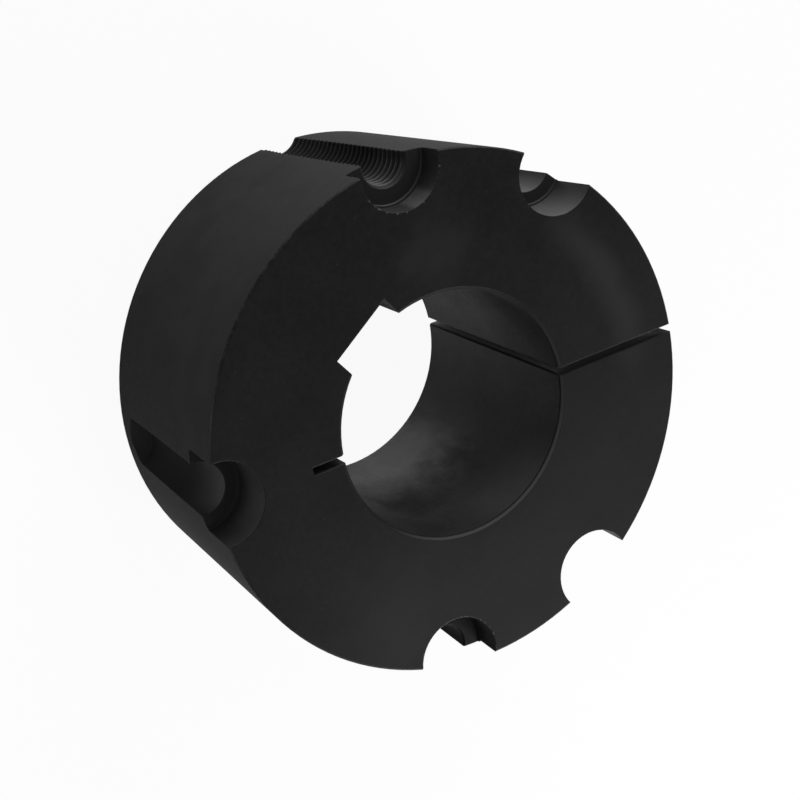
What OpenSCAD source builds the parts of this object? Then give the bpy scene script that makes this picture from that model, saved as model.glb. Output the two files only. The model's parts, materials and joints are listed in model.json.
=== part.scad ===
// Taper bush: a split bush that locks a pulley or sprocket to a shaft.
// The outside is a shallow cone and the bore takes the shaft and its key.
// Screws sit half in the bush and half in the hub. The mounting screws bear on a shoulder in the
// bush and draw it into the hub, which closes the split on the shaft. The jacking screws thread
// into the bush and push it out again.
// The bush stands on its small end: Z runs up the axis, and the keyway is towards +Y.

/* [Body] */
// Diameter of the large end
large_dia = 127; // [125:0.5:130]
// Length along the axis
bush_len = 63.5; // [58:0.5:70]
// Taper of the seat, measured from the axis
taper_angle = 4; // [3:0.25:5]
// Broken edge round the seat, at both ends
edge_break = 0.4; // [0.2:0.1:0.8]

/* [Bore] */
// Diameter of the finished bore
bore_dia = 60; // [45:1:62]
// Chamfer at each mouth of the bore
bore_chamfer = 0.8; // [0.4:0.1:1.5]
// Width of the keyway
key_width = 18; // [12:1:20]
// Depth of the keyway, from the crown of the bore to the keyway's floor
key_depth = 4.4; // [3:0.1:6]

/* [Split] */
// Width of the saw cut right through the wall
split_width = 2.1; // [1.6:0.1:3.6]
// Width of the relief slot opposite the split
relief_width = 2.2; // [1.6:0.2:3.6]
// Depth of the relief slot, outward from the bore
relief_depth = 8.6; // [5:0.2:11]

/* [Screw holes] */
// Diameter of the circle that the hole centres lie on
hole_circle_dia = 123.4; // [121:0.2:125]
// Diameter of the counterbore round a screw head
head_dia = 20.7; // [18:0.1:22]
// Width of the ledge at the foot of each counterbore
ledge_width = 0.45; // [0.2:0.05:0.8]
// Height of that ledge above the shoulder
ledge_height = 0.5; // [0.2:0.05:0.8]
// Depth of the counterbore of a mounting hole
mount_head_depth = 13.6; // [10:0.2:18]
// Diameter of the plain shank of a mounting hole
mount_shank_dia = 13.4; // [12:0.1:15]
// Angle across the tip that the drill leaves
drill_angle = 118; // [90:1:140]
// Iron left between that tip and the small end
mount_web = 3.5; // [1:0.5:20]
// Depth of the counterbore of a jacking hole
jack_head_depth = 7.6; // [5:0.2:12]
// Diameter of a jacking hole at the pitch line of its thread
jack_thread_dia = 11.4; // [10:0.1:13]
// Chamfer at the mouth of that thread
jack_chamfer = 0.3; // [0.1:0.1:0.8]

/* [Directions] */
// Direction of the split: like all of these, counter-clockwise from +X, seen from the large end
split_angle = -34.3; // [-40:0.1:-20]
// Direction of the keyway
key_angle = 90; // [85:0.5:95]
// Direction of the first mounting hole
mount_1_angle = 16.8; // [5:0.2:25]
// Direction of the second mounting hole
mount_2_angle = 145; // [125:0.2:150]
// Direction of the third mounting hole
mount_3_angle = 264.9; // [255:0.2:275]
// Direction of the first jacking hole
jack_1_angle = 57.1; // [50:0.2:65]
// Direction of the second jacking hole
jack_2_angle = 224.7; // [215:0.2:230]

/* [Hidden] */
$fn = 128;

over = 1;                        // how far a cutter runs past the face it opens
large_r = large_dia / 2;
small_r = large_r - bush_len * tan(taper_angle);
bore_r = bore_dia / 2;
hole_circle_r = hole_circle_dia / 2;
head_r = head_dia / 2;
shank_r = mount_shank_dia / 2;
tip_len = shank_r / tan(drill_angle / 2);
shank_depth = bush_len - mount_web - tip_len;
mount_angles = [mount_1_angle, mount_2_angle, mount_3_angle];
jack_angles = [jack_1_angle, jack_2_angle];

// Radius of the tapered seat at a height above the small end
function seat_r(z) = small_r + z * tan(taper_angle);

// The turned blank: one closed section, revolved about the axis
module turned_blank() {
    rotate_extrude()
        polygon([
            [bore_r + bore_chamfer, 0],
            [seat_r(0) - edge_break, 0],
            [seat_r(edge_break), edge_break],
            [seat_r(bush_len - edge_break), bush_len - edge_break],
            [large_r - edge_break, bush_len],
            [bore_r + bore_chamfer, bush_len],
            [bore_r, bush_len - bore_chamfer],
            [bore_r, bore_chamfer]
        ]);
}

// A straight cut along the whole bush, from the axis out to a reach
module long_cut(width, reach, at) {
    rotate(at)
        translate([0, -width / 2, -over])
            cube([reach, width, bush_len + 2 * over]);
}

// Carries a cutter, drawn downward from its own origin, to a hole at the large end
module at_hole(at) {
    rotate(at)
        translate([hole_circle_r, 0, bush_len])
            children();
}

// Counterbore for a screw head: the wall ends on a narrow ledge just above the shoulder
module head_pocket(depth) {
    floor_r = head_r - ledge_width;
    translate([0, 0, ledge_height - depth])
        cylinder(r = head_r, h = depth - ledge_height + over);
    translate([0, 0, -depth])
        cylinder(r1 = floor_r - ledge_height / 2, r2 = floor_r, h = ledge_height);
}

// Mounting hole: plain and blind. Its shank and the drill's cone at its end are one revolved
// outline, so that no skin can stay between the two.
module mounting_hole() {
    head_pocket(mount_head_depth);
    rotate_extrude()
        polygon([
            [0, 0],
            [shank_r, 0],
            [shank_r, -shank_depth],
            [0, -shank_depth - tip_len]
        ]);
}

// Jacking hole: threaded from its shoulder right through to the small end
module jacking_hole() {
    thread_r = jack_thread_dia / 2;
    head_pocket(jack_head_depth);
    translate([0, 0, -jack_head_depth - jack_chamfer])
        cylinder(r1 = thread_r, r2 = thread_r + jack_chamfer, h = jack_chamfer);
    translate([0, 0, -bush_len - over])
        cylinder(r = thread_r, h = bush_len + over);
}

module taper_bush() {
    color("#2b2c2e")
        difference() {
            turned_blank();
            long_cut(split_width, large_dia, split_angle);
            long_cut(relief_width, bore_r + relief_depth, split_angle + 180);
            long_cut(key_width, bore_r + key_depth, key_angle);
            for (a = mount_angles)
                at_hole(a)
                    mounting_hole();
            for (a = jack_angles)
                at_hole(a)
                    jacking_hole();
        }
}

taper_bush();
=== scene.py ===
# %% [markdown]
# # A taper bush of black iron
# A taper bush locks a pulley or a sprocket to a shaft. It is cast iron, turned to a shallow cone,
# bored, slotted, drilled round its edge for cap screws, and then blackened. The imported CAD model
# already has that shape, to the real size, and it is loaded here as a fixed frame. What is left
# to Blender is what a CAD model lacks: the screw threads, the finish, the light and the camera.

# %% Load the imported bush
import json
import math

import bpy
import numpy as np
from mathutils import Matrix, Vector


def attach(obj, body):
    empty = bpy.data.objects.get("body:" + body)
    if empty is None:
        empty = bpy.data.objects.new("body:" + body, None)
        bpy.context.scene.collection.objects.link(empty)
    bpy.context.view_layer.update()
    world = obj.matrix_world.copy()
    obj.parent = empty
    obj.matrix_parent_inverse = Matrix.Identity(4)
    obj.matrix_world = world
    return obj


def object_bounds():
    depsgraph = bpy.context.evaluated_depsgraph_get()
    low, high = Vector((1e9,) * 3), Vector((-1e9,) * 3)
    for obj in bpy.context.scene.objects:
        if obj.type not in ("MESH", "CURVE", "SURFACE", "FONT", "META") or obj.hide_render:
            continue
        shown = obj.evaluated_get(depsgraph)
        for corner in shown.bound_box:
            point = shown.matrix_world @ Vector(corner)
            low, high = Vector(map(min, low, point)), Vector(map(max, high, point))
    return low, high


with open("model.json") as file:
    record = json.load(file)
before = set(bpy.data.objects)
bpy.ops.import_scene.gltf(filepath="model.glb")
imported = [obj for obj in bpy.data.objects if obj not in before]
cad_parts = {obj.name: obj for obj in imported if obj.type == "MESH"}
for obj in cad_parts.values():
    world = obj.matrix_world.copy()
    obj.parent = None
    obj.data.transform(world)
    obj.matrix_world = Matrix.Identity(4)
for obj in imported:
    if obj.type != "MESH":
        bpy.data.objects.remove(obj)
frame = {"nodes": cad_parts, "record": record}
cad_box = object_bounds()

bush = frame["nodes"]["taper_bush"]
print("bush faces:", len(bush.data.polygons))
print("box in mm:", [[round(v * 1000, 2) for v in corner] for corner in cad_box])

# %% [markdown]
# ## The sizes that the looks need
# Every length is in millimetres here and is divided by 1000 where it becomes a mesh, because
# Blender's unit in this scene is the metre. The sizes could all be typed in, but the frame holds
# the length, and its record holds the bore and the place of each hole, so those are read from it
# and can't drift. The others are the CAD model's own values, written again.

# %% Sizes of the bush
MM = 0.001
mounts = {mount["name"]: mount for mount in frame["record"]["mounts"]}
bush_len = round(cad_box[1][2] / MM, 2)
bore_r = mounts["shaft_bore"]["dims"]["r_mm"]
large_r = 63.5
taper = math.tan(math.radians(4.0))
head_r = 10.35
jack_head_depth = 7.6
split_direction = -34.3


def seat_r(z):
    """Radius of the cone at a height: the large radius less the taper times the way down."""
    return large_r - (bush_len - z) * taper


def place_of(mount):
    """A mount's direction, in degrees counter-clockwise from +X, and its distance from the axis."""
    x, y, _ = mounts[mount]["pos_m"]
    return round(math.degrees(math.atan2(y, x)) % 360.0, 1), round(math.hypot(x, y) / MM, 1)


mounting_directions = [place_of(f"mounting_hole_{number}")[0] for number in (1, 2, 3)]
upper_jack_direction, hole_circle_r = place_of("jacking_hole_1")
lower_jack_direction = place_of("jacking_hole_2")[0]
key_direction = place_of("keyway")[0]
print("cone runs from", round(seat_r(0), 2), "to", round(seat_r(bush_len), 2), "mm radius")
print("mounting holes towards", mounting_directions, "on a circle of", hole_circle_r, "mm radius")
print("jacking holes towards", upper_jack_direction, "and", lower_jack_direction)

# %% [markdown]
# ## The thread in the jacking holes
# Two of the holes are threaded, so that a screw can push the bush out of its hub. Each is only
# about half a hole, open on the cone. A thread could be a bump texture, but it shows from the
# side, where a bump has no outline. It could be cut into the bush, but the bush's mesh isn't
# changed. So it is a row of ridges that stand on the plain wall, one for each turn, because the
# cone cuts every turn off at both ends. In the photograph the edge of the lower hole is smooth as
# far down as it shows, so its thread starts below that.

# %% A ridge for each turn of the thread
thread_pitch = 2.117
thread_wall_r = 5.7
half_width, ridge_height, sunk = 0.80, 0.46, 0.05
flank_share, crown_fall = 0.78, 0.12
first_turn, fade_margin, fade_length = 0.2, 0.9, 0.7
keel_depth = 4.0 * sunk
first_guess, rounds = 80.0, 6
foot_clearance, top_clearance = 0.02, 0.35


def thread_ridges(direction, top_z, around=44, across=9):
    """Points of every ridge, as an array of turn, step round the hole, step across, and x, y, z.

    Radius from the hole's axis = the wall's radius less a ridge that is highest in the middle.
    Height = start + pitch * turns, plus the step across. Each turn begins and ends where a point
    at that radius and height meets the cone, which is the law of cosines solved for the angle.
    The ridge fades out below the top of the thread and above the small end. The last point of
    each loop is a keel, sunk in the wall, which closes the ridge from behind.
    """
    turns = np.arange(int(top_z / thread_pitch) + 1, dtype=float)[:, None, None]
    t = np.linspace(-1.0, 1.0, across)
    crown = np.clip((1.0 - np.abs(t)) / flank_share, 0.0, 1.0)
    crown = crown * (1.0 - crown_fall * crown ** 3) / (1.0 - crown_fall)
    dz = np.append(t * half_width, 0.0)
    rise = np.append(crown * (ridge_height + sunk) - sunk, -keel_depth)

    def at(angle):
        z = thread_pitch * (turns + angle / 360.0) + first_turn
        below_top = np.clip((top_z - fade_margin - z) / fade_length, 0.0, 1.0)
        share = below_top * np.clip((z - fade_margin) / fade_length, 0.0, 1.0)
        height = np.where(rise > 0.0, rise * share - sunk * (1.0 - share), rise)
        z = np.clip(z, half_width + foot_clearance, top_z - half_width - top_clearance)
        return thread_wall_r - height, z + dz

    ends = []
    for side in (1.0, -1.0):
        angle = np.full((len(turns), 1, len(dz)), 180.0 - first_guess * side)
        for _ in range(rounds):
            r, z = at(angle)
            cosine = (seat_r(z) ** 2 - hole_circle_r ** 2 - r ** 2) / (2 * hole_circle_r * r)
            angle = 180.0 - side * (180.0 - np.degrees(np.arccos(cosine)))
        ends.append(angle)
    step = np.linspace(0.0, 1.0, around)[None, :, None]
    angle = ends[0] * (1.0 - step) + ends[1] * step
    r, z = at(angle)
    a, d = np.radians(angle), math.radians(direction)
    x, y = hole_circle_r + r * np.cos(a), r * np.sin(a)
    return np.stack([x * math.cos(d) - y * math.sin(d), x * math.sin(d) + y * math.cos(d), z], -1)


upper_thread_top, lower_thread_top = bush_len - jack_head_depth, 43.5
ridge_points = {
    "jacking_thread_1": thread_ridges(upper_jack_direction, upper_thread_top),
    "jacking_thread_2": thread_ridges(lower_jack_direction, lower_thread_top),
}
print({name: points.shape for name, points in ridge_points.items()})

# %% [markdown]
# ## From points to a mesh
# The points already lie on a grid, so the faces are only a matter of counting: each point is
# joined to its neighbour round the loop and to the next loop along. That closes every ridge to a
# tube, and one face closes each end, flush with the cone.

# %% Ridges as closed tubes
def ridges_to_mesh(name, points):
    """Each ridge is a closed tube: its loops of points joined by quads, and a face over each end."""
    turns, around, loop = points.shape[:3]
    index = np.arange(turns * around * loop).reshape(turns, around, loop)
    after = np.roll(index, -1, axis=2)
    quads = np.stack([index[:, :-1], index[:, 1:], after[:, 1:], after[:, :-1]], -1).reshape(-1, 4)
    caps = np.concatenate([index[:, 0], index[:, -1, ::-1]])
    mesh = bpy.data.meshes.new(name)
    mesh.from_pydata((points.reshape(-1, 3) * MM).tolist(), [], quads.tolist() + caps.tolist())
    smooth = np.append(np.ones(len(quads), bool), np.zeros(len(caps), bool))
    mesh.polygons.foreach_set("use_smooth", smooth)
    mesh.update()
    piece = bpy.data.objects.new(name, mesh)
    bpy.context.scene.collection.objects.link(piece)
    return piece


threads = [ridges_to_mesh(name, points) for name, points in ridge_points.items()]
for thread in threads:
    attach(thread, "root")
    print(thread.name, "faces:", len(thread.data.polygons))

# %% [markdown]
# ## Helpers that make nodes
# A node material is a small program. It could be wired by hand, node by node, but a few short
# helpers let it be written as sums. All of them build in one tree at a time, the one that was
# emptied last. These five make the nodes themselves. A socket goes by its name, or by its number
# where several have the same name.

# %% Nodes
def empty_tree(owner):
    """Clears the nodes of a material or a world, and makes its tree the one to build in."""
    global tree
    owner.use_nodes = True
    tree = owner.node_tree
    tree.nodes.clear()


def add(kind, inputs=None, out=0, **settings):
    """Makes a node, sets its options and its sockets, and returns one of its outputs."""
    made = tree.nodes.new(kind)
    for key, value in settings.items():
        setattr(made, key, value)
    for key, value in (inputs or {}).items():
        socket = made.inputs[key]
        if isinstance(value, bpy.types.NodeSocket):
            tree.links.new(value, socket)
        else:
            socket.default_value = value
    return made.outputs[out]


def show(kind, shader):
    """Makes the output node of the tree and joins the finished shader to it."""
    tree.links.new(shader, tree.nodes.new(kind).inputs["Surface"])


def vector(operation, first, second=(0.0, 0.0, 0.0)):
    """Makes a Vector Math node. A length, a distance or a dot product comes back as one number."""
    out = "Value" if operation in ("LENGTH", "DISTANCE", "DOT_PRODUCT") else "Vector"
    return add("ShaderNodeVectorMath", {0: first, 1: second}, out, operation=operation)


def xyz(value):
    """The three parts of a vector."""
    parts = tree.nodes.new("ShaderNodeSeparateXYZ")
    tree.links.new(value, parts.inputs[0])
    return parts.outputs


print("helpers that make nodes are ready")

# %% [markdown]
# ## Helpers that reckon
# Most of the material is arithmetic on shares between 0 and 1: 1 where a point is on the bore,
# say, and 0 elsewhere. The product of two such shares is where both hold, and the largest is
# where either does. A Map Range node carries a value from one range to another, and with a smooth
# step it has no visible edge.

# %% Sums, ranges and noise
def calc(operation, *values):
    """Makes a Math node."""
    return add("ShaderNodeMath", dict(enumerate(values)), operation=operation)


def row(operation, values):
    """A Math node for each value after the first, each working on the result before it."""
    result = values[0]
    for value in values[1:]:
        result = calc(operation, result, value)
    return result


def plus(*values):
    """The sum of its values."""
    return row("ADD", values)


def minus(*values):
    """The first value less the others."""
    return row("SUBTRACT", values)


def times(*values):
    """The product of its values."""
    return row("MULTIPLY", values)


def most(*values):
    """The largest of its values."""
    return row("MAXIMUM", values)


def least(*values):
    """The smallest of its values."""
    return row("MINIMUM", values)


def above(value, limit):
    """1 where a value is above a limit, and 0 elsewhere."""
    return calc("GREATER_THAN", value, limit)


def below(value, limit):
    """1 where a value is below a limit, and 0 elsewhere."""
    return calc("LESS_THAN", value, limit)


def fit(value, low, high, to_low=0.0, to_high=1.0):
    """Carries a value smoothly from one range to another, and stops at both ends."""
    sockets = {"Value": value, "From Min": low, "From Max": high, "To Min": to_low, "To Max": to_high}
    return add("ShaderNodeMapRange", sockets, interpolation_type="SMOOTHSTEP")


def fade(distance, near, far, strength=1.0):
    """The strength up to a near distance, and smoothly less until nothing is left at a far one."""
    return fit(distance, near, far, strength, 0.0)


def mix(share, first, second):
    """Mixes two numbers: none of the second at 0, all of it at 1. Sockets 2 and 3 take numbers."""
    return add("ShaderNodeMix", {0: share, 2: first, 3: second}, data_type="FLOAT")


def noise(at, scale, detail=3.0, roughness=0.55):
    """Cloudy noise round 0.5. The scale counts blots to the millimetre where the place is in mm."""
    sockets = {"Vector": at, "Scale": scale, "Detail": detail, "Roughness": roughness}
    return add("ShaderNodeTexNoise", sockets)


print("helpers that reckon are ready")

# %% [markdown]
# ## Where on the bush a point is
# One finish covers the whole bush, but the lathe, the drill and the saw left different surfaces
# under it. Each could have a material of its own, but then the bush's faces would have to be
# sorted, and its mesh isn't changed. So the material works out from the place of a point, and
# from the way its surface faces, what it is on: an end looks straight up or down, the seat lies
# on the cone, the bore lies within its radius, and the rest is the wall of a hole or a slot. A
# skin of a tenth of a millimetre allows for flat facets on round faces. All of it reads Object
# coordinates, so the finish stays on the iron from any side.

# %% Places on the bush
iron = bpy.data.materials.new("black_iron")
empty_tree(iron)

skin, seat_skin, chamfer_reach = 0.1, 0.12, 0.9
level_from, slanted_from, slanted_to, upright_to = 0.98, 0.4, 0.9, 0.3

in_metres = add("ShaderNodeTexCoord", out="Object")
mm = vector("MULTIPLY", in_metres, (1.0 / MM, 1.0 / MM, 1.0 / MM))
flat_mm = vector("MULTIPLY", mm, (1.0, 1.0, 0.0))
x, y, z = xyz(mm)
radius = vector("LENGTH", flat_mm)
facing = add("ShaderNodeNewGeometry", out="True Normal")
upward = calc("ABSOLUTE", xyz(facing)[2])
from_middle = calc("ABSOLUTE", minus(z, bush_len / 2))
below_end = minus(bush_len, z)
cone_r = plus(times(z, taper), seat_r(0.0))

level = above(upward, level_from)
slanted = times(above(upward, slanted_from), below(upward, slanted_to))
on_end = times(level, above(from_middle, bush_len / 2 - skin))
on_seat = times(above(minus(radius, cone_r), -seat_skin), minus(1.0, on_end))
in_bore = below(radius, bore_r + skin)
turned = most(on_end, on_seat, in_bore)
cut = minus(1.0, turned)
chamfer = times(slanted, above(from_middle, bush_len / 2 - chamfer_reach))
print("nodes for the places:", len(tree.nodes))

# %% [markdown]
# ## What the lathe left
# A turning tool leaves a fine groove on each turn. On an end the grooves are rings round the
# axis, so they follow the radius. On the cone and in the bore they follow the height. A wave
# would look machine-made, so a noise of one dimension gives grooves that are never quite even.
# The holes were drilled, so they have none.

# %% Turning marks
along = mix(on_end, z, radius)


def grooves(scale, depth):
    """Noise of one dimension along the cut, as deep as it says. The scale is grooves to the mm."""
    sockets = {"W": along, "Scale": scale, "Detail": 2.0}
    return times(add("ShaderNodeTexNoise", sockets, noise_dimensions="1D"), depth)


fine_rings, wide_rings = grooves(scale=2.6, depth=0.0012), grooves(scale=0.30, depth=0.004)
rings = times(plus(fine_rings, wide_rings), turned)
print("nodes with the turning marks:", len(tree.nodes))

# %% [markdown]
# ## The grain under the black
# Grey cast iron is never quite smooth. Close up it has a sandy grain of about a millimetre, and
# the hot salt bath that blackened it left soft clouds on the ends. Paint would hide both, so they
# are what tells this finish from paint. The cone was ground after turning, so it has the grain but
# no clouds.

# %% Grain and clouds
grain = noise(mm, scale=0.75, detail=4.0, roughness=0.62)
fine_grain = noise(mm, scale=2.6, detail=3.0, roughness=0.6)
cloud = mix(on_seat, noise(mm, scale=0.060, detail=4.0, roughness=0.5), 0.5)
print("nodes with the grain:", len(tree.nodes))

# %% [markdown]
# ## Painted light on the large end
# Three patches of light on the large end are too large and too pale to leave to a noise, so they are
# painted: one beside the keyway, one beside the relief slot, and a long band near the rim. Each could
# be painted into the mesh as an attribute, but a distance does it: the first two fade with the
# distance from a point, the third with the distance from a circle, and along it with the angle. A
# slow noise is added to the distances, so that no patch is round.

# %% Three patches of painted light
key_light_at, slot_light_at = (25.0, 30.0, 0.0), (-46.0, -19.0, 0.0)
light_band_r, light_band_direction = 51.0, -14.0
outward = vector("NORMALIZE", flat_mm)


def from_line(point):
    """Distance from an upright line: the length of the flat vector from it to the point."""
    return vector("DISTANCE", flat_mm, point)


def towards(direction):
    """1 where a point lies in a direction from the axis, 0 at right angles to it: a cosine."""
    a = math.radians(direction)
    return vector("DOT_PRODUCT", outward, (math.cos(a), math.sin(a), 0.0))


uneven = calc("MULTIPLY_ADD", noise(mm, scale=0.10, roughness=0.5), 16.0, -8.0)
key_light_patch = fade(plus(from_line(key_light_at), uneven), near=0.0, far=14.0, strength=0.42)
slot_light_patch = fade(plus(from_line(slot_light_at), uneven), near=0.0, far=22.0, strength=0.36)
off_circle = calc("ABSOLUTE", plus(times(uneven, 0.3), minus(radius, light_band_r)))
light_band = fade(off_circle, near=0.0, far=7.5, strength=0.65)
light_band = times(light_band, fit(towards(light_band_direction), 0.84, 1.0))
# Painted light: three pale patches on the large end.
painted_face_light = times(most(slot_light_patch, key_light_patch, light_band), on_end, above(z, bush_len / 2))
print("nodes with the clouds:", len(tree.nodes))

# %% [markdown]
# ## Painted reflection and shade in the bore
# On one side of the bore a pale reflection is painted near the small end, shade is painted in two
# spots above that, and a little painted light again at its mouth. Each patch fades with the distance
# from a point of the wall. A noise that is stretched along the axis is added to that distance, so
# that the edges are ragged and not round. The side beyond is the smoothest, where the shaft slid as
# the bush was fitted.

# %% Painted reflection, shade and light in the bore
reflection_at, mouth_light_at = (248.0, 9.5), (266.0, 56.0)
shade_spots_at = [(228.0, 37.0), (262.0, 29.0)]
reflection_direction, slid_direction = 240.0, 285.0

stretched = vector("MULTIPLY", mm, (0.13, 0.13, 0.075))
smudge = noise(stretched, scale=1.0, detail=5.0, roughness=0.62)
ragged = calc("MULTIPLY_ADD", smudge, 24.0, -12.0)


def from_bore_point(direction, height):
    """Distance from a point of the bore's wall, in a direction from the axis and at a height."""
    a = math.radians(direction)
    return vector("DISTANCE", mm, (bore_r * math.cos(a), bore_r * math.sin(a), height))


# Painted reflection near the small end of the bore, then painted shade in two spots and painted light
# at the mouth.
painted_bore_reflection = fade(plus(from_bore_point(*reflection_at), ragged), near=3.0, far=34.0)
painted_bore_reflection = times(painted_bore_reflection, in_bore, fit(towards(reflection_direction), 0.66, 0.88, 0.5, 1.0))
from_shade_spots = least(*[from_bore_point(*place) for place in shade_spots_at])
painted_bore_shade = times(fade(minus(from_shade_spots, ragged), near=1.0, far=13.0, strength=0.55), in_bore)
painted_mouth_light = plus(from_bore_point(*mouth_light_at), times(ragged, 0.4))
painted_mouth_light = times(fade(painted_mouth_light, near=5.0, far=17.0, strength=0.8), in_bore)
slid = times(fit(towards(slid_direction), 0.2, 0.9, 0.35, 1.0), in_bore)
print("nodes with the bore:", len(tree.nodes))

# %% [markdown]
# ## Which screw hole
# Two jacking holes, one at the top of the photograph and one at the bottom, and three mounting
# holes stand round the edge. A hole could be told by its faces, but then the mesh would have to
# be sorted. The material measures how far a point is from the axis of each hole instead. That
# distance also tells the shank from the wider counterbore.

# %% Parts of the screw holes
hole_reach, shank_reach, thread_reach = head_r + 0.15, 7.0, 6.2
drill_tip_top = 20.0


def hole_axis(direction):
    """A point on a hole's axis, as x, y, 0."""
    a = math.radians(direction)
    return hole_circle_r * math.cos(a), hole_circle_r * math.sin(a), 0.0


from_upper_jack = from_line(hole_axis(upper_jack_direction))
from_lower_jack = from_line(hole_axis(lower_jack_direction))
from_mounts = [from_line(hole_axis(direction)) for direction in mounting_directions]
from_nearest = least(from_upper_jack, from_lower_jack, *from_mounts)
drilled = times(cut, below(from_nearest, hole_reach))
upper_jack = times(drilled, below(from_upper_jack, hole_reach))
lower_jack = times(drilled, below(from_lower_jack, hole_reach))
first_mount = times(drilled, below(from_mounts[0], hole_reach))

upright = times(drilled, below(upward, upright_to))
shoulder = times(drilled, level)
shank = times(drilled, below(from_nearest, shank_reach))
drill_tip = times(shank, slanted, below(z, drill_tip_top))
thread_wall = times(upright, below(from_upper_jack, thread_reach))
# Painted light: the ledge of the upper jacking hole is paler.
jack_ledge = times(slanted, minus(upper_jack, times(upper_jack, shank)))
print("nodes with the holes:", len(tree.nodes))

# %% [markdown]
# ## How dark each hole is
# The insides of the screw holes are evenly dark, whichever way they open, so the black is painted
# deepest where the lamps reach in and paler on the shoulders and the drill tips, which they don't
# reach: painted light and shade. The ledge of the upper jacking hole is painted pale as light. In one
# mounting hole a pale reflection is painted, strongest on one side of its wall, and a highlight is
# painted on the wall of the jacking hole beside it. A highlight is also painted on the crests of the
# thread, on the side that is lit.

# %% Painted light, shade, reflection and highlights in the holes
highlight_turn, reflection_turn = 204.0, 205.0
crest_r = thread_wall_r - 0.30


def on_counterbore(direction, turn):
    """A point on a counterbore's wall, a turn on from the hole's own direction, as x, y, 0."""
    axis_x, axis_y, _ = hole_axis(direction)
    a = math.radians(direction + turn)
    return axis_x + head_r * math.cos(a), axis_y + head_r * math.sin(a), 0.0


deep = times(fit(z, 51.0, 30.0), shank, minus(upright, upper_jack))
thread_foot = times(shank, upper_jack, fit(z, 50.0, 36.0))
# Painted highlight on the jacking hole's counterbore wall, and a painted reflection in one mounting
# hole.
from_highlight = from_line(on_counterbore(upper_jack_direction, highlight_turn))
painted_head_highlight = times(fade(from_highlight, near=1.6, far=3.8), upright, above(from_upper_jack, 9.0))
from_reflection_side = from_line(on_counterbore(mounting_directions[0], reflection_turn))
painted_reflections = most(times(upright, first_mount, fit(from_reflection_side, 2.5, 11.5, 1.0, 0.05)), painted_head_highlight)
painted_reflections = times(painted_reflections, fit(grain, 0.2, 0.6, 0.6, 1.0))
lit_side = minus(hole_axis(upper_jack_direction)[0], x)
# Painted highlight on the thread's crests, on the lit side.
painted_crest_highlight = times(upper_jack, below(from_upper_jack, crest_r), fit(z, 40.0, 50.0))
painted_crest_highlight = times(painted_crest_highlight, fit(lit_side, -1.0, 4.5))
print("nodes with the dark and bare places:", len(tree.nodes))

# %% [markdown]
# ## The split, the relief slot and the keyway
# A saw cut is a deep gap, and its walls would render black. In the split they are a plain dark grey
# instead, because light is painted on them: they grow paler with the distance to the nearest opening:
# the large end, the bore or the cone. From the bore they do so soonest, so that distance counts three
# times. The keyway was broached, and its walls are mottled and paler at its mouth.

# %% Depth in the slots
bore_weight = 3.0

split_side = above(towards(split_direction), 0.9)
from_bore = times(minus(radius, bore_r), bore_weight)
depth = least(below_end, from_bore, minus(cone_r, radius))
sawn = times(minus(cut, drilled), below(upward, upright_to))
# Painted light on the walls of the split, paler deeper in.
painted_light_in_split = times(sawn, fit(depth, 0.3, 5.0), split_side)
key_mouth = times(sawn, fit(towards(key_direction), 0.75, 0.85), fade(below_end, near=2.5, far=6.0))
key_mouth = times(key_mouth, fit(fine_grain, 0.38, 0.62, 0.2, 1.0))
print("nodes with the slots:", len(tree.nodes))

# %% [markdown]
# ## Edges
# Handling wears the black off the edges first. Pointiness reads the mesh's corners, and this mesh has
# too few of them. A Bevel node instead rounds the shading over a third of a millimetre, and where its
# direction leaves the true one there is an edge. The grain breaks that line into dots. On the chamfer
# of the rim the line is fainter, apart from one stretch, facing away from the lamps, where light is
# painted on it. The lip of the bore is painted pale on the side that is lit, and shade is painted on
# the lip of the split, darker than the face.

# %% Rubbed edges
edge_radius = 0.32
lip_reach = 40.0
rim_light_direction, lit_lip_direction = 140.0, 272.0

rounded = add("ShaderNodeBevel", {"Radius": edge_radius * MM}, samples=6)
bore_lip = times(chamfer, below(radius, lip_reach))
rim = minus(chamfer, bore_lip)
edge = most(fit(vector("DOT_PRODUCT", rounded, facing), 0.95, 0.80), times(rim, 0.60))
rubbed = times(edge, fit(fine_grain, 0.38, 0.62), fit(grain, 0.40, 0.58, 0.15, 1.0))
rubbed = times(rubbed, minus(1.0, most(shank, lower_jack)))
# Painted light on the rim's chamfer, on the side away from the lamps.
rim_painted_light = times(rim, fit(towards(rim_light_direction), 0.88, 0.98, 0.0, 0.5))
rim_painted_light = times(rim_painted_light, fit(cloud, 0.40, 0.60, 0.5, 1.0))
lit_lip = fit(towards(lit_lip_direction), -0.1, 0.7)
lit_lip = times(lit_lip, fit(radius, bore_r + 0.12, bore_r + 0.34))
# Painted shade on the lip of the split.
split_lip_shade = times(edge, split_side, on_end, 0.8)
print("nodes with the edges:", len(tree.nodes))

# %% [markdown]
# ## Burrs and specks
# The mouths of the jacking holes have small bright burrs that the cutter raised. They could be
# tiny meshes, but they are too small to show a shape, so a ring round each mouth is broken into
# dots by a noise. A few specks of bright iron lie anywhere on the ends. A texture of cells gives
# the distance to the middle of the nearest cell, and a speck is where the surface cuts one.

# %% Burrs and specks
from_mouth = calc("ABSOLUTE", minus(least(from_upper_jack, from_lower_jack), head_r))
mouth = times(fade(from_mouth, near=0.12, far=0.38), below(below_end, 0.4))
burr = times(mouth, fit(noise(mm, scale=1.3, detail=1.0), 0.61, 0.72))
cells = add("ShaderNodeTexVoronoi", {"Vector": mm, "Scale": 0.45, "Randomness": 1.0})
speck = times(fade(cells, near=0.04, far=0.085), on_end, fit(grain, 0.42, 0.62), 0.6)
print("nodes with the burrs:", len(tree.nodes))

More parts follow.
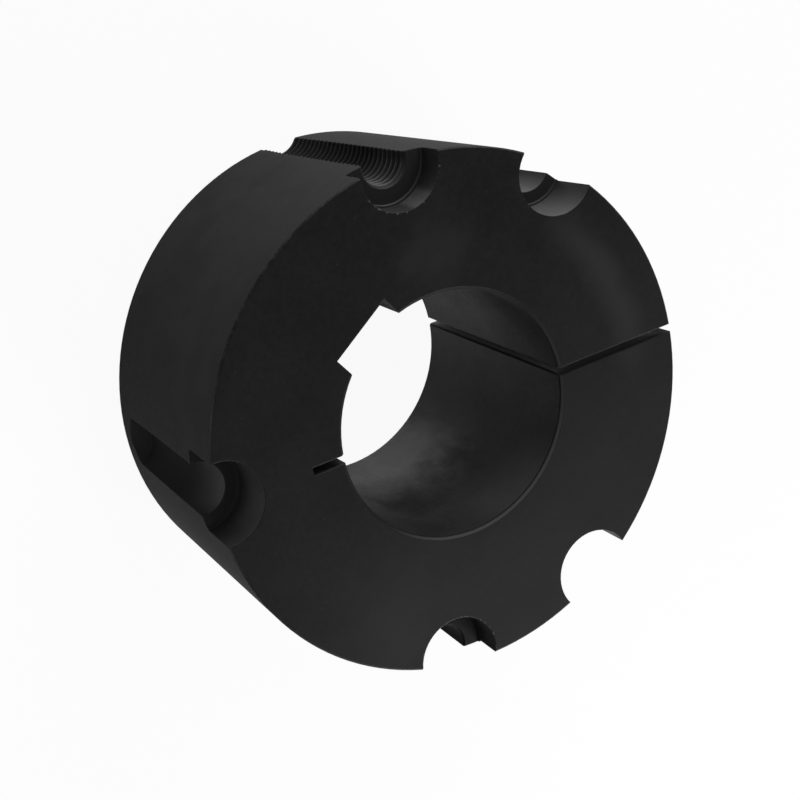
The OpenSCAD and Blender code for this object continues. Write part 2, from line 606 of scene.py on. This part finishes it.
# %% [markdown]
# ## The black of the turned surfaces
# Black oxide is a thin dark layer on metal. It could be a metal with a dark colour, but then its
# reflections would be as dark as the colour, and on the real bush they are pale and plain. So it is
# a near-black ground under a weak, wide gloss. The numbers come from comparing greys with the
# photograph, where the darkest parts are a tenth of white on the screen, a hundredth in light.
# The ends, the seat and the bore each run from a darker black to a paler one. On the seat, light is
# painted towards the large end and towards one side, with a narrow painted highlight on that side,
# and shade is painted on another side. The seat is also mottled all over.

# %% Blacks of the ends, the seat and the bore
def grey(value):
    """A single number becomes the four that a colour socket takes, and a socket stays itself."""
    return (value, value, value, 1.0) if isinstance(value, float) else value


def tint(share, first, second):
    """Mixes two colours: none of the second at 0, all of it at 1. Sockets 6 and 7 take colours."""
    return add("ShaderNodeMix", {0: share, 6: grey(first), 7: grey(second)}, out=2, data_type="RGBA")


blots = plus(fit(cloud, 0.32, 0.68, 0.0, 0.65), fit(grain, 0.3, 0.7, -0.10, 0.45))
end_black = tint(blots, 0.0035, 0.0085)

seat_light_side, seat_highlight_side, seat_shade_side = 50.0, 40.0, 165.0
mottle = noise(mm, scale=0.11, detail=4.0)
# The first four are painted light and shade: paler towards the large end and towards one side, a
# narrow painted highlight, and painted shade on another side. The last two are the real grain and
# mottling.
seat_shading_and_grain = [
    fit(z, 0.0, 62.0, 0.0, 0.6),
    fit(towards(seat_light_side), 0.2, 0.95, 0.0, 0.4),
    fit(towards(seat_highlight_side), 0.88, 0.99, 0.05, 0.95),
    fit(towards(seat_shade_side), 0.55, 0.95, 0.0, -0.6),
    fit(grain, 0.3, 0.7, -0.24, 0.24),
    fit(mottle, 0.35, 0.65, -0.20, 0.20),
]
seat_black = tint(plus(*seat_shading_and_grain), 0.0048, 0.0157)
bore_black = tint(fit(smudge, 0.35, 0.65), 0.009, 0.016)
# Painted light on the ends, paler towards one side.
painted_side_light = times(on_end, fit(y, 20.0, -50.0, 0.0, 0.25))
print("nodes with the blacks:", len(tree.nodes))

# %% [markdown]
# ## One coat over another
# All the places are now known, so the colour can be laid on in coats, as a painter would do it:
# each coat has a share, which says where it lies and how thickly, and a grey. A later coat covers
# the ones before it. Mixing them by hand would take as many lines of nodes, and their order would
# be hard to see.

# %% Coats of grey
# Several coats are painted light, shade and reflection: the patches and one side of the large end,
# the reflection, shade and light in the bore, the lit lip of the bore, the light inside the split,
# the blacks in the holes, the ledge, a reflection in a mounting hole, highlights on a jacking hole's
# wall and the thread's crests, light on the rim and shade on the split's lip.
coats = [
    (on_seat, seat_black),
    (in_bore, bore_black),
    (painted_bore_shade, 0.004),
    (painted_mouth_light, 0.036),
    (painted_bore_reflection, 0.090),
    (bore_lip, tint(lit_lip, 0.009, 0.060)),
    (painted_side_light, 0.030),
    (painted_face_light, 0.030),
    (sawn, tint(split_side, 0.035, 0.012)),
    (painted_light_in_split, 0.34),
    (key_mouth, 0.085),
    (drilled, 0.020),
    (shoulder, tint(most(upper_jack, first_mount), 0.040, 0.021)),
    (jack_ledge, 0.036),
    (deep, 0.009),
    (drill_tip, 0.024),
    (thread_foot, 0.007),
    (lower_jack, tint(shoulder, 0.010, 0.020)),
    (times(lower_jack, slanted), 0.003),
    (painted_reflections, 0.058),
    (painted_crest_highlight, 0.070),
    (most(rubbed, speck), 0.042),
    (rim_painted_light, 0.110),
    (split_lip_shade, 0.003),
    (burr, 0.14),
]
black = end_black
for share, coat in coats:
    black = tint(share, black, coat)
print("coats:", len(coats), "and nodes with them:", len(tree.nodes))

# %% [markdown]
# ## How rough it is
# The blackened grain scatters light widely, so the gloss has no sharp edge anywhere. The cone is the
# most matt, and one side of the bore is the smoothest, so that it shows the white floor.
# The shoulders, the deep walls and the sawn ones are matt throughout.

# %% Roughness
rough = plus(fit(grain, 0.3, 0.7, 0.55, 0.61), fit(cloud, 0.3, 0.7, 0.03, -0.03))
rougher_by = [
    (slid, -0.17),
    (painted_bore_shade, 0.20),
    (upright, -0.07),
    (thread_wall, -0.10),
    (thread_foot, 0.25),
    (on_seat, 0.17),
]
for share, change in rougher_by:
    rough = plus(rough, times(share, change))
matt = 0.85
rough = mix(most(lower_jack, deep, shoulder, sawn, bore_lip), rough, matt)
print("nodes with the roughness:", len(tree.nodes))

# %% [markdown]
# ## Putting the finish together
# The heights of the rings and the grain, a few hundredths of a millimetre, go through one Bump node,
# which starts from the rounded edge instead of the sharp one. On the painted reflection in the bore
# and deep in the slots, the shader is told that it is a metal. The gloss is set on the shader itself,
# because it is the same all over. The material then goes into the slots of the bush's object and of
# the threads, and no mesh is touched.

# %% The finished iron
gloss, metal_share, shank_smoothness = 0.12, 0.9, 0.8

relief = plus(rings, times(grain, 0.030), times(fine_grain, 0.006))
relief = times(relief, minus(1.0, times(shank, shank_smoothness)))
bump = add("ShaderNodeBump", {"Height": relief, "Distance": MM, "Strength": 1.0, "Normal": rounded})
metallic_places = times(most(painted_bore_reflection, times(sawn, fit(below_end, 0.5, 5.0))), metal_share)
finish = {
    "Base Color": black,
    "Metallic": metallic_places,
    "Roughness": rough,
    "Normal": bump,
    "Specular IOR Level": gloss,
}
show("ShaderNodeOutputMaterial", add("ShaderNodeBsdfPrincipled", finish))

for piece in [bush, *threads]:
    if not piece.data.materials:
        piece.data.materials.append(iron)
    for slot in piece.material_slots:
        slot.link = "OBJECT"
        slot.material = iron
print("black iron on", [piece.name for piece in [bush, *threads]])

# %% [markdown]
# ## The floor
# The bush stands on its small end on a plain pale floor, and in the photograph everything behind
# it is white, also through the bore. The floor could be lit until it is white, but then the bush
# would be lit too much. So a ray from the camera, or one that comes off the gloss or through
# glass, sees a floor that is white by itself, with the bush's shadow left faintly in it. The
# light that the floor throws on the bush is that of plain pale paint.

# %% Pale floor
floor_paint = bpy.data.materials.new("pale_floor")
empty_tree(floor_paint)
paint_grey, floor_to_camera, floor_to_gloss = 0.80, 0.94, 0.60
floor_half, floor_gap = 3.0, 0.05 * MM


def seen_white(to_camera, to_gloss):
    """How white a ray finds a thing: one share for the camera's, one off gloss or through glass."""
    path = tree.nodes.new("ShaderNodeLightPath").outputs
    off_gloss = most(path["Is Glossy Ray"], path["Is Transmission Ray"])
    return most(times(path["Is Camera Ray"], to_camera), times(off_gloss, to_gloss))


paint = add("ShaderNodeBsdfDiffuse", {"Color": grey(paint_grey)})
glow = add("ShaderNodeEmission", {"Color": grey(1.0), "Strength": 1.0})
white = seen_white(floor_to_camera, floor_to_gloss)
show("ShaderNodeOutputMaterial", add("ShaderNodeMixShader", {0: white, 1: paint, 2: glow}))

corners = [(a * floor_half, b * floor_half, 0) for a, b in ((-1, -1), (1, -1), (1, 1), (-1, 1))]
floor_mesh = bpy.data.meshes.new("floor")
floor_mesh.from_pydata(corners, [], [(0, 1, 2, 3)])
floor = bpy.data.objects.new("floor", floor_mesh)
floor.location.z = -floor_gap
bpy.context.scene.collection.objects.link(floor)
floor.data.materials.append(floor_paint)
print("floor ready")

# %% [markdown]
# ## The white room
# Round the floor stands a white backdrop, which is the world here. It is white to a little above
# the bush and greyer overhead, as a studio is. The camera, the gloss and glass all see it so. The
# light that it sends on matt surfaces is weaker and even, which leaves the lamps to shape the bush.

# %% World
world = bpy.data.worlds.new("white_room")
bpy.context.scene.world = world
empty_tree(world)
white_up_to, grey_from = math.radians(12), math.radians(50)
overhead, matt_light = 0.22, 0.3

climb = xyz(add("ShaderNodeTexCoord", out="Generated"))[2]
ceiling = fit(climb, math.sin(white_up_to), math.sin(grey_from), 1.0, overhead)
dim = add("ShaderNodeBackground", {"Color": grey(1.0), "Strength": matt_light})
bright = add("ShaderNodeBackground", {"Color": grey(1.0), "Strength": ceiling})
white = seen_white(1.0, 1.0)
show("ShaderNodeOutputWorld", add("ShaderNodeMixShader", {0: white, 1: dim, 2: bright}))
print("world ready")

# %% [markdown]
# ## Studio light
# On the flat face the grey climbs smoothly towards the far edge, and on the cone towards one
# side. Small lamps would leave spots there. So two soft square lamps stand low beside the bush:
# one behind it, whose light grazes the face, and one at the side, which reaches into the holes.
# Their power was found by rendering the bush under one lamp at a time and solving for the mix
# that gives the photograph's greys.

# %% Lamps
lamp_size, lamp_distance, aim_height = 0.36, 0.6, 0.03


def soft_lamp(name, azimuth, elevation, power):
    """A square area lamp in a direction from the bush, turned to face its middle."""
    a, e = math.radians(azimuth), math.radians(elevation)
    to = np.array([math.cos(a) * math.cos(e), math.sin(a) * math.cos(e), math.sin(e)])
    light = bpy.data.lights.new(name, "AREA")
    light.shape = "SQUARE"
    light.size = lamp_size
    light.energy = power
    lamp = bpy.data.objects.new(name, light)
    lamp.location = to * lamp_distance + np.array([0, 0, aim_height])
    lamp.rotation_euler = (math.pi / 2 - e, 0, a + math.pi / 2)
    bpy.context.scene.collection.objects.link(lamp)
    return lamp


lamps = [
    soft_lamp("lamp_behind", azimuth=257, elevation=12, power=5.8),
    soft_lamp("lamp_beside", azimuth=30, elevation=12, power=3.5),
]
print("lamps:", [lamp.name for lamp in lamps])

# %% [markdown]
# ## The camera
# The photograph was matched by fitting a pinhole camera to the outlines of both ends, the cone
# and the bore. Its picture is square, so a 36 mm film back and this lens give the same frame.

# %% Camera
film_back, lens = 36.0, 97.2075
camera_place = (-0.07175, 0.27822, 0.48417)
camera_turn = (-15.2387, -29.4440, -47.0097)

camera_data = bpy.data.cameras.new("camera")
camera_data.sensor_width = film_back
camera_data.lens = lens
camera = bpy.data.objects.new("camera", camera_data)
camera.location = camera_place
camera.rotation_euler = [math.radians(angle) for angle in camera_turn]
bpy.context.scene.collection.objects.link(camera)
bpy.context.scene.camera = camera
bpy.context.scene.view_settings.view_transform = "Standard"
print("camera", [round(v, 4) for v in camera.location], "lens", camera_data.lens)
